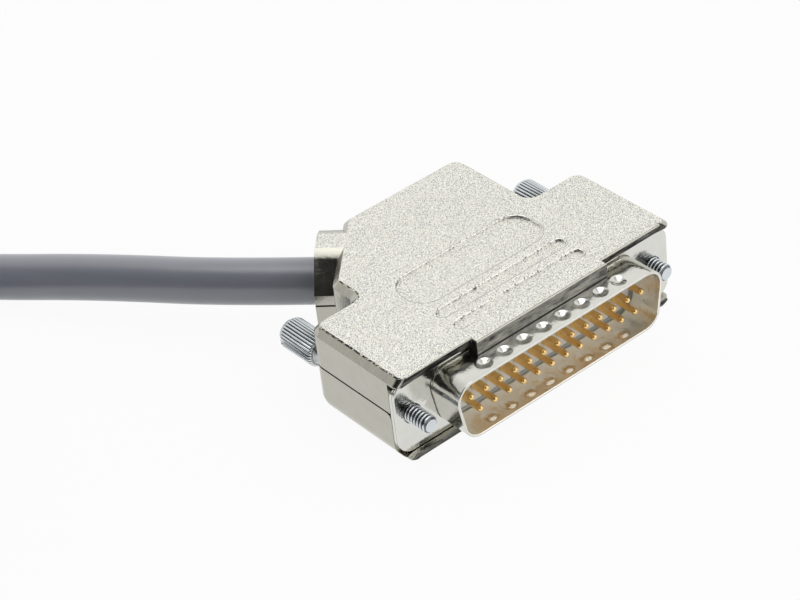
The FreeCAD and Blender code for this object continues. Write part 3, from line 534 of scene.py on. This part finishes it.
def cast_half(name, node):
    """One half of the hood, from its CAD node to the finished piece."""
    build = merged_copy(node)
    bevel_where(build, 1.0, 4, lip_corner)
    bevel_where(build, 0.22, 3, lip_edge)
    # The tongue's front is cut at the slot's level, so that its lowest strip can take the painted
    # gap shade.
    for level in (-SLOT_LEVEL, SLOT_LEVEL):
        front = [face for face in build.faces
                 if face.normal.y < -0.95 and face.calc_center_median().y < TONGUE_FRONT * MM]
        around = {part for face in front for part in (*face.edges, *face.verts)}
        bmesh.ops.bisect_plane(build, geom=front + list(around), dist=1e-8,
                               plane_co=(0.0, 0.0, level * MM), plane_no=(0.0, 0.0, 1.0))
    bevel_where(build, 0.15, 3, relief_edge)
    ease_edges(build, 0.11)
    mark_faces(build)
    edge_the_top(build)
    piece = set_down(name, build, CAST_FINISHES, "hood", "die_cast", node)
    piece.modifiers.new("even_shading", "WEIGHTED_NORMAL").keep_sharp = True


cast_half("hood_upper_half", "upper_shell")
cast_half("hood_lower_half", "lower_shell")
saddle = merged_copy("clamp_saddle")
ease_edges(saddle, 0.15)
set_down("cable_clamp", saddle, [cast_side], "hood", "die_cast", "clamp_saddle")

# Plug shell
# Flange and D-shaped shroud drawn from one sheet of steel and nickel plated. Eight
# dents along each long wall press on the socket's shell for the ground contact.
shell_steel = smooth_nickel("shell_steel", (0.62, 0.62, 0.585, 1.0), (0.76, 0.755, 0.71, 1.0),
                            0.04, 0.00008)
# Painted reflection and light: the shroud's inner walls, the same plating as outside, made paler and
# warmer for the gold pins and pale insulator they mirror.
inside_painted_reflection = smooth_nickel("inside_painted_reflection", (0.93, 0.88, 0.76, 1.0), (0.99, 0.96, 0.88, 1.0),
                             0.16, 0.00022)
SHROUD_DEEP, SHROUD_HALF, SHEET, FLARE = 5.84, 4.63, 0.45, 0.25
DENTS, DENT_PITCH, DENT_PLACE, DENT_REACH, DENT_DEEP = 8, 3.72, -3.9, 1.3, 0.42
FLANGE_LONG, FLANGE_HIGH, FLANGE_THICK = 26.52, 6.275, 0.55
EAR, EAR_HOLE = 23.52, 1.525
# The shroud's half width below and above, the rounds of its corners there, and what
# each gains when the loop grows by one, because its ends lean.
LOW_HALF, LOW_ROUND, LOW_GAIN = 18.30, 2.18, 0.84
HIGH_HALF, HIGH_ROUND, HIGH_GAIN = 19.93, 3.10, 1.19


def dee_loop(build, grow):
    """The shroud's outline as bare edges, grown outwards all round."""
    low, high, tall = LOW_HALF + LOW_GAIN * grow, HIGH_HALF + HIGH_GAIN * grow, SHROUD_HALF + grow
    rounded_plate(build, [(-low, -tall), (low, -tall), (high, tall), (-high, tall)],
                  [LOW_ROUND + LOW_GAIN * grow] * 2 + [HIGH_ROUND + HIGH_GAIN * grow] * 2, 8)
    bmesh.ops.delete(build, geom=build.faces[:], context="FACES_ONLY")


def push_back(build, edges, far):
    """Extrudes open edges along the plug's depth, which points down until it is turned."""
    made = bmesh.ops.extrude_edge_only(build, edges=edges)["geom"]
    moved = points_of(made)
    bmesh.ops.translate(build, verts=moved, vec=(0.0, 0.0, -far * MM))
    return [item for item in made if isinstance(item, bmesh.types.BMEdge)], moved


def upend(build, x=0.0, y=0.0, z=0.0):
    """Turns a build made in plan to face the mating side, and moves it into place."""
    bmesh.ops.rotate(build, verts=build.verts[:],
                     matrix=Matrix.Rotation(math.radians(90.0), 3, "X"))
    bmesh.ops.translate(build, verts=build.verts[:], vec=Vector((x, y, z)) * MM)


def take_in(build, part):
    """Adds a finished part to a build."""
    mesh = bpy.data.meshes.new("part")
    part.to_mesh(mesh)
    part.free()
    build.from_mesh(mesh)


def refinish(finish, *nodes):
    """Gives CAD nodes that are shown as they are a finish of their own."""
    for node in nodes:
        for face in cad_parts[node].material_slots:
            face.material = finish


shroud = bmesh.new()
dee_loop(shroud, 0.0)
walls = [edge for edge in shroud.edges if edge.calc_length() > 20.0 * MM]
bmesh.ops.subdivide_edges(shroud, edges=walls, cuts=219)
push_back(shroud, shroud.edges[:], SHROUD_DEEP - FLARE)
uprights = [edge for edge in shroud.edges
            if abs(edge.verts[0].co.z - edge.verts[1].co.z) > 1.0 * MM]
bmesh.ops.subdivide_edges(shroud, edges=uprights, cuts=35, use_grid_fill=True)
back_loop = [edge for edge in shroud.edges
             if all(point.co.z < (FLARE - SHROUD_DEEP) * MM + 1e-7 for point in edge.verts)]
for step in range(4):
    lean, further = math.radians(22.5 * step), math.radians(22.5 * (step + 1))
    back_loop, moved = push_back(shroud, back_loop, FLARE * (math.sin(further) - math.sin(lean)))
    for point in moved:
        outward = Vector((math.copysign(max(abs(point.co.x) - 16.5 * MM, 0.0), point.co.x),
                          math.copysign(max(abs(point.co.y) - 2.03 * MM, 0.0), point.co.y), 0.0))
        point.co += outward.normalized() * FLARE * (math.cos(lean) - math.cos(further)) * MM
for point in shroud.verts:
    if abs(abs(point.co.y) - SHROUD_HALF * MM) < 0.01 * MM:
        place = point.co.x / MM + DENT_PITCH * (DENTS - 1) / 2.0
        nearest = min(max(round(place / DENT_PITCH), 0), DENTS - 1)
        away = math.hypot(place - nearest * DENT_PITCH, -point.co.z / MM - SHROUD_DEEP - DENT_PLACE)
        if away < DENT_REACH:
            depth = DENT_DEEP * (1.0 - (away / DENT_REACH) ** 2.4) ** 1.4
            point.co.y -= math.copysign(depth * MM, point.co.y)
bmesh.ops.recalc_face_normals(shroud, faces=shroud.faces[:])
bmesh.ops.solidify(shroud, geom=shroud.faces[:], thickness=SHEET * MM)
bmesh.ops.recalc_face_normals(shroud, faces=shroud.faces[:])
rolled = [edge for edge in shroud.edges if edge.calc_face_angle(0.0) > math.radians(60.0)
          and all(point.co.z > -0.02 * MM for point in edge.verts)]
round_off(shroud, rolled, 0.13, 3)
upend(shroud, y=-SHROUD_DEEP)
# The shroud's inner walls take the painted reflection and light.
for face in shroud.faces:
    middle = face.calc_center_median() / MM
    if middle.y < -0.6 and face.normal.x * middle.x * 0.2 + face.normal.z * middle.z < -0.4:
        face.material_index = 1
flange = bmesh.new()
rounded_plate(flange, [(-FLANGE_LONG, -FLANGE_HIGH), (FLANGE_LONG, -FLANGE_HIGH),
                       (FLANGE_LONG, FLANGE_HIGH), (-FLANGE_LONG, FLANGE_HIGH)], [2.5] * 4, 8)
bmesh.ops.delete(flange, geom=flange.faces[:], context="FACES_ONLY")
dee_loop(flange, FLARE)
for side in (-EAR, EAR):
    bmesh.ops.create_circle(flange, segments=40, radius=EAR_HOLE * MM,
                            matrix=Matrix.Translation((side * MM, 0.0, 0.0)))
bmesh.ops.triangle_fill(flange, edges=flange.edges[:], use_beauty=True, use_dissolve=False)
grown = bmesh.ops.extrude_face_region(flange, geom=flange.faces[:])["geom"]
bmesh.ops.translate(flange, verts=points_of(grown), vec=(0.0, 0.0, -FLANGE_THICK * MM))
bmesh.ops.recalc_face_normals(flange, faces=flange.faces[:])
ease_edges(flange, 0.08)
upend(flange)
take_in(shroud, flange)
plug_shell = set_down("plug_shell", shroud, [shell_steel, inside_painted_reflection], "hood", "shell_plate",
                      "front_shell")
plug_shell.modifiers.new("even_shading", "WEIGHTED_NORMAL").keep_sharp = True
refinish(shell_steel, "rear_shell")

# Insulators
# Two blocks moulded in pale glass-filled polyester, pressed into the shell. Their
# meeting face and the mould's parting show as a thin dark line between the rows.
moulded = Finish("insulator_pale", Roughness=0.5)
fleck = moulded.noise(1800.0, 3.0)
across_face = moulded.node("SeparateXYZ", output=2, Vector=moulded.place())
beside_line = across_face.math("ABSOLUTE").math("GREATER_THAN", 0.00007)
pale = moulded.mix(fleck, (0.88, 0.87, 0.84, 1.0), (0.93, 0.92, 0.89, 1.0))
refinish(moulded.feed(Base_Color=moulded.mix(beside_line, (0.05, 0.05, 0.055, 1.0), pale),
                      Normal=moulded.bump(fleck, 0.00005, 0.3)),
         "front_insulator", "rear_insulator")

# Contacts
# Twenty-five turned brass pins with a gold flash: round nose, plain shaft, collar
# held between the insulators, and a solder cup at the back, filled with solder.
PIN_PITCH, ROW_UP, UPPER_PINS = 2.76, 1.42, 13
# The number at the middle of each row. Below, it lies between two pins.
UPPER_MIDDLE, LOWER_MIDDLE = 6, 18.5


def pin_place(number):
    """Across and up from the plug's middle to one contact, in millimetres."""
    if number < UPPER_PINS:
        return (number - UPPER_MIDDLE) * PIN_PITCH, ROW_UP
    return (number - LOWER_MIDDLE) * PIN_PITCH, -ROW_UP


def turned(profile, steps=48):
    """A closed turning about the depth axis from pairs of radius and place, ends on the axis."""
    build = bmesh.new()
    corners = [build.verts.new((radius * MM, place * MM, 0.0)) for radius, place in profile]
    ring = [build.edges.new(pair) for pair in zip(corners, corners[1:])]
    bmesh.ops.spin(build, geom=corners + ring, cent=(0.0, 0.0, 0.0), axis=(0.0, 1.0, 0.0),
                   angle=math.tau, steps=steps, use_merge=True)
    bmesh.ops.remove_doubles(build, verts=build.verts[:], dist=0.0005 * MM)
    bmesh.ops.recalc_face_normals(build, faces=build.faces[:])
    return build


gold = Finish("gold_flash", Metallic=1.0)
wear = gold.noise(1500.0, 3.0)
gold_flash = gold.feed(Base_Color=gold.mix(wear, (0.86, 0.56, 0.20, 1.0), (0.97, 0.70, 0.32, 1.0)),
                       Roughness=(wear * 0.08) + 0.22)
tin = Finish("solder", Metallic=1.0, Roughness=0.32)
solder = tin.feed(Base_Color=tin.mix(tin.noise(1400.0, 3.0), (0.50, 0.50, 0.50, 1.0),
                                     (0.72, 0.72, 0.71, 1.0)))
PIN = [(0.0, -5.06), (0.14, -5.05), (0.28, -4.98), (0.40, -4.85), (0.475, -4.68), (0.505, -4.45),
       (0.51, -4.2), (0.51, 3.6), (0.85, 3.62), (0.85, 7.9), (0.72, 8.0), (0.72, 8.3), (0.85, 8.4),
       (0.85, 11.75), (0.80, 11.8), (0.66, 11.8), (0.62, 11.7), (0.30, 11.62), (0.0, 11.6)]
for number in range(CORES):
    pin = turned(PIN, 28)
    for face in pin.faces:
        middle = face.calc_center_median() / MM
        if middle.y > 11.55 and face.normal.y > 0.8 and math.hypot(middle.x, middle.z) < 0.63:
            face.material_index = 1
    across, up = pin_place(number)
    bmesh.ops.translate(pin, verts=pin.verts[:], vec=(across * MM, 0.0, up * MM))
    set_down("gold_pin_%02d" % (number + 1), pin, [gold_flash, solder], "hood", "contact_gold",
             "contact_%02d" % (number + 1), crease=50.0)

# Jackscrews
# Turned steel, zinc plated: a 4-40 thread at the tip, a necked groove for the clip
# and a straight-knurled head with a driver slot. Each turns and slides in its ear.
PITCH, CREST, ROOT, ROUND = 0.635, 1.4225, 1.05, 24
THREAD_END, HEAD_START, HEAD_END, HEAD_RADIUS = 8.05, 24.35, 31.95, 2.5
KNURLS, KNURL_DEEP = 30, 0.13


def thread(build, start, end):
    """Adds a run of screw thread along the depth axis, closed at both ends."""
    tooth = bmesh.new()
    ridge = [(ROOT, 0.0), (ROOT, 0.05), (1.28, 0.183), (CREST, 0.265), (CREST, 0.345),
             (1.28, 0.427), (ROOT, 0.56), (ROOT, PITCH)]
    corners = [tooth.verts.new((radius * MM, (start - 1.5 * PITCH + place) * MM, 0.0))
               for radius, place in ridge]
    edges = [tooth.edges.new(pair) for pair in zip(corners, corners[1:])]
    turns = math.ceil((end - start) / PITCH) + 3
    bmesh.ops.spin(tooth, geom=corners + edges, cent=(0.0, 0.0, 0.0), axis=(0.0, 1.0, 0.0),
                   dvec=(0.0, PITCH / ROUND * MM, 0.0), angle=math.tau * turns,
                   steps=ROUND * turns)
    bmesh.ops.remove_doubles(tooth, verts=tooth.verts[:], dist=0.001 * MM)
    for place, side in ((start, -1.0), (end, 1.0)):
        bmesh.ops.bisect_plane(tooth, geom=tooth.verts[:] + tooth.edges[:] + tooth.faces[:],
                               dist=1e-8, plane_co=(0.0, place * MM, 0.0),
                               plane_no=(0.0, side, 0.0), clear_outer=True)
        open_loop = [edge for edge in tooth.edges if len(edge.link_faces) == 1
                     and all(abs(point.co.y - place * MM) < 1e-7 for point in edge.verts)]
        bmesh.ops.holes_fill(tooth, edges=open_loop, sides=0)
    for point in tooth.verts:
        most = (1.0 + max(0.0, point.co.y / MM - start) * 1.1) * MM
        reach = math.hypot(point.co.x, point.co.z)
        if reach > most:
            point.co.x *= most / reach
            point.co.z *= most / reach
    bmesh.ops.recalc_face_normals(tooth, faces=tooth.faces[:])
    take_in(build, tooth)


def on_knurl(place):
    """From 0 in a knurl's groove to 1 on its ridge, round the depth axis."""
    return abs(math.sin(math.atan2(place.z, place.x) * KNURLS / 2.0))


def cut_slot(build, low, high):
    """Cuts a box between two corners out of a build, as a slotting cutter does."""
    box = bmesh.new()
    bmesh.ops.create_cube(box, size=1.0)
    bmesh.ops.scale(box, verts=box.verts[:], vec=(Vector(high) - Vector(low)) * MM)
    bmesh.ops.translate(box, verts=box.verts[:], vec=(Vector(high) + Vector(low)) * MM / 2.0)
    shapes = []
    for source in (build, box):
        mesh = bpy.data.meshes.new("slotting")
        source.to_mesh(mesh)
        source.free()
        shapes.append(bpy.data.objects.new("slotting", mesh))
        bpy.context.scene.collection.objects.link(shapes[-1])
    change = shapes[0].modifiers.new("slot", "BOOLEAN")
    change.operation = "DIFFERENCE"
    change.solver = "EXACT"
    change.object = shapes[1]
    graph = bpy.context.evaluated_depsgraph_get()
    cut = bmesh.new()
    cut.from_mesh(bpy.data.meshes.new_from_object(shapes[0].evaluated_get(graph)))
    for shape in shapes:
        bpy.data.objects.remove(shape)
    return cut


zinc = Finish("bright_zinc", Metallic=1.0)
blush = zinc.noise(700.0, 4.0)
turning = zinc.noise(5200.0, 2.0)
bright_zinc = zinc.feed(
    Base_Color=zinc.mix(blush, (0.55, 0.58, 0.60, 1.0), (0.76, 0.80, 0.83, 1.0)),
    Roughness=(turning * 0.10) + 0.20, Normal=zinc.bump(turning, 0.00003, 0.4))
# Painted shade: the thread's roots and the knurls' valleys darkened.
groove_shade_finish = Finish("groove_painted_shade", Metallic=1.0, Roughness=0.4)
groove_painted_shade = groove_shade_finish.feed(Base_Color=groove_shade_finish.mix(groove_shade_finish.noise(2500.0, 3.0), (0.09, 0.096, 0.10, 1.0),
                                         (0.28, 0.30, 0.32, 1.0)))
for side, across, tip in (("left", -EAR, -3.95), ("right", EAR, -2.95)):
    head = turned([(0.0, HEAD_START), (1.9, HEAD_START), (2.15, 24.40), (HEAD_RADIUS, 24.75),
                   (HEAD_RADIUS, 31.35), (2.1, 31.88), (1.9, HEAD_END), (0.0, HEAD_END)], KNURLS * 6)
    for point in head.verts:
        if math.hypot(point.co.x, point.co.z) > 2.3 * MM:
            scale = 1.0 - KNURL_DEEP * (1.0 - on_knurl(point.co) ** 0.7)
            point.co.x *= scale
            point.co.z *= scale
    head = cut_slot(head, (-3.0, HEAD_END - 1.4, -0.4), (3.0, 33.0, 0.4))
    take_in(head, turned([(0.0, 8.0), (1.25, 8.0), (1.25, 8.68), (1.0, 8.72), (1.0, 9.28),
                          (1.25, 9.32), (1.5, 9.40), (1.5, 24.2), (1.9, 24.40), (0.0, 24.40)]))
    thread(head, 0.0, THREAD_END)
    # The thread's roots and the knurls' valleys take the painted shade.
    for face in head.faces:
        middle = face.calc_center_median() / MM
        reach = math.hypot(middle.x, middle.z)
        in_root = middle.y < THREAD_END and 0.9 < reach < 1.2 and abs(face.normal.y) < 0.95
        in_groove = 24.7 < middle.y < 31.4 and reach > 2.1 and on_knurl(middle) < 0.45 \
            and abs(face.normal.y) < 0.5
        if in_root or in_groove:
            face.material_index = 1
    bmesh.ops.translate(head, verts=head.verts[:], vec=(across * MM, tip * MM, 0.0))
    set_down("jackscrew_" + side, head, [bright_zinc, groove_painted_shade], side + "_screw", "screw_steel",
             "thumb_screw_" + side, crease=40.0)
spring = Finish("spring_steel", Metallic=1.0)
temper = spring.noise(1100.0, 3.0)
refinish(spring.feed(
    Base_Color=spring.mix(temper, (0.22, 0.22, 0.23, 1.0), (0.42, 0.42, 0.42, 1.0)),
    Roughness=(temper * 0.2) + 0.28), "retaining_clip_left", "retaining_clip_right")

# Case and clamp screws
# Slotted cheese-head screws: two from below close the hood halves, and two small
# ones hold the saddle down on the cable.
CASE_SCREW = {"shank": 1.5, "length": 8.0, "head": 2.5, "tall": 2.0, "slot": 0.4}
CLAMP_SCREW = {"shank": 1.0, "length": 6.0, "head": 1.8, "tall": 1.4, "slot": 0.25}


def cheese_screw(build, move, shank, length, head, tall, slot):
    """Adds one slotted screw, made head up along the depth axis and then moved into place."""
    screw = turned([(0.0, 0.0), (head, 0.0), (head, tall - 0.3), (head - 0.08, tall - 0.12),
                    (head - 0.3, tall), (0.0, tall)])
    screw = cut_slot(screw, (-head - 1.0, tall * 0.55, -slot), (head + 1.0, tall + 1.0, slot))
    stem = turned([(0.0, -length), (shank * 0.55, -length), (shank * 0.80, 0.3 - length),
                   (shank * 0.80, -0.5), (shank, -0.4), (shank, 0.02), (0.0, 0.02)], 32)
    ridges = [edge for edge in stem.edges
              if abs(edge.verts[0].co.y - edge.verts[1].co.y) > 2.0 * MM]
    cuts = int((length - 0.8) / 0.25)
    bmesh.ops.subdivide_edges(stem, edges=ridges, cuts=cuts, use_grid_fill=True)
    for point in stem.verts:
        row = (point.co.y / MM + length - 0.3) / ((length - 0.8) / (cuts + 1))
        if 0.5 < row < cuts + 0.5 and round(row) % 2:
            point.co.x *= 1.25
            point.co.z *= 1.25
    bmesh.ops.recalc_face_normals(stem, faces=stem.faces[:])
    take_in(screw, stem)
    bmesh.ops.transform(screw, verts=screw.verts[:], matrix=move)
    take_in(build, screw)


head_up = Matrix.Rotation(math.radians(90.0), 4, "X")
head_down = Matrix.Rotation(math.radians(-90.0), 4, "X")
closing = bmesh.new()
for x, y in ((12.0, 30.6), (-13.0, 17.8)):
    seat = Matrix.Translation(Vector((x, y, -4.9)) * MM)
    cheese_screw(closing, seat @ head_down, **CASE_SCREW)
set_down("case_screw_pair", closing, [bright_zinc], "hood", "screw_steel", "case_screws",
         crease=40.0)
holding = bmesh.new()
for aside in (-6.7, 6.7):
    seat = Matrix.Translation(cable_point(21.75, aside, 2.4))
    cheese_screw(holding, seat @ head_up, **CLAMP_SCREW)
set_down("clamp_screw_pair", holding, [bright_zinc], "hood", "screw_steel", "clamp_screws",
         crease=40.0)

# Cores in the hood
# Twenty-five insulated wires leave the jacket's cut end inside the hood as one
# bundle and fan out to the contacts' solder cups.
SPREAD, CUP_DEPTH = 2.25, 11.7
exit_heading = (cable_point(1.0, 0.0, 0.0) - cable_point(0.0, 0.0, 0.0)).normalized()
exit_aside = Vector((-exit_heading.y, exit_heading.x, 0.0))
loom_runs = []
for number in range(CORES):
    across, up = pin_place(number)
    cup = Vector((across, CUP_DEPTH, up)) * MM
    # Contacts side by side take cores from every seventh place in the bundle.
    aside, height = bundled((number * 7) % CORES, SPREAD)
    gathered = [cable_point(out, 0.0, height) + exit_aside * aside * MM for out in (18.6, 15.5, 9.5)]
    turn_in = Vector((across * 0.72, 14.8, up * 1.2)) * MM
    before_cup = cup + Vector((0.0, 1.3 * MM, 0.0))
    loom_runs.append((gathered + [turn_in, before_cup, cup], 0.42, number % len(CORE_COLOURS)))
core_group("hood_cores", loom_runs, "conductors", "wire_loom")

# Studio
# A pale table in a bright room that is dark above the camera, so that the plated
# faces show both, and two soft lamps. Camera, metal and glass see the table white.
floor_mesh = bpy.data.meshes.new("floor")
build = bmesh.new()
bmesh.ops.create_grid(build, x_segments=1, y_segments=1, size=3.0,
                      matrix=Matrix.Translation((0.0, 0.0, FLOOR)))
build.to_mesh(floor_mesh)
build.free()
floor = bpy.data.objects.new("floor", floor_mesh)
bpy.context.scene.collection.objects.link(floor)
table = Finish("table_white", Roughness=0.9, Base_Color=(0.80, 0.80, 0.79, 1.0))
floor_mesh.materials.append(table.material)
as_background = table.node("LightPath").math("MAXIMUM", table.node("LightPath", output=3)).math(
    "MAXIMUM", table.node("LightPath", output=6))
white = table.node("Emission", Color=(1.0, 1.0, 1.0, 1.0), Strength=1.0)
lit = Wire(table.tree, table.shader.outputs[0])
shown = table.node("MixShader", i0=as_background * 0.94, i1=lit, i2=white)
table.tree.links.new(shown.socket, table.tree.nodes["Material Output"].inputs["Surface"])

world = bpy.data.worlds.new("studio")
bpy.context.scene.world = world
world.use_nodes = True
room = Nodes(world.node_tree)
toward_dark = room.node("VectorMath", {"operation": "DOT_PRODUCT"}, output=1,
                        i0=room.node("TexCoord", output=0), i1=(-0.56, -0.50, 0.66))
walls = room.node("ValToRGB", {"stops": [
    (0.55, (1.0, 1.0, 0.985, 1.0)), (0.70, (0.66, 0.66, 0.64, 1.0)),
    (0.83, (0.12, 0.12, 0.12, 1.0)), (0.91, (0.02, 0.02, 0.02, 1.0))]},
    Fac=(toward_dark * 0.5) + 0.5)
lit_room = room.node("Background", Color=walls, Strength=1.0)
world.node_tree.links.new(lit_room.socket, world.node_tree.nodes["World Output"].inputs["Surface"])


def soft_lamp(name, place, aim, width, depth, power):
    """A rectangular area lamp at a place, turned towards its aim."""
    lamp_data = bpy.data.lights.new(name, "AREA")
    lamp_data.shape = "RECTANGLE"
    lamp_data.size = width
    lamp_data.size_y = depth
    lamp_data.energy = power
    lamp = bpy.data.objects.new(name, lamp_data)
    lamp.location = place
    lamp.rotation_euler = (Vector(aim) - Vector(place)).to_track_quat("-Z", "Y").to_euler()
    bpy.context.scene.collection.objects.link(lamp)


soft_lamp("overhead", place=(0.02, 0.12, 0.9), aim=(0.0, 0.02, 0.0),
          width=0.6, depth=0.6, power=1.9)
soft_lamp("front", place=(0.15, -0.85, 0.48), aim=(0.0, 0.0, 0.0),
          width=1.1, depth=0.7, power=2.8)

bpy.context.scene.view_settings.view_transform = "Standard"
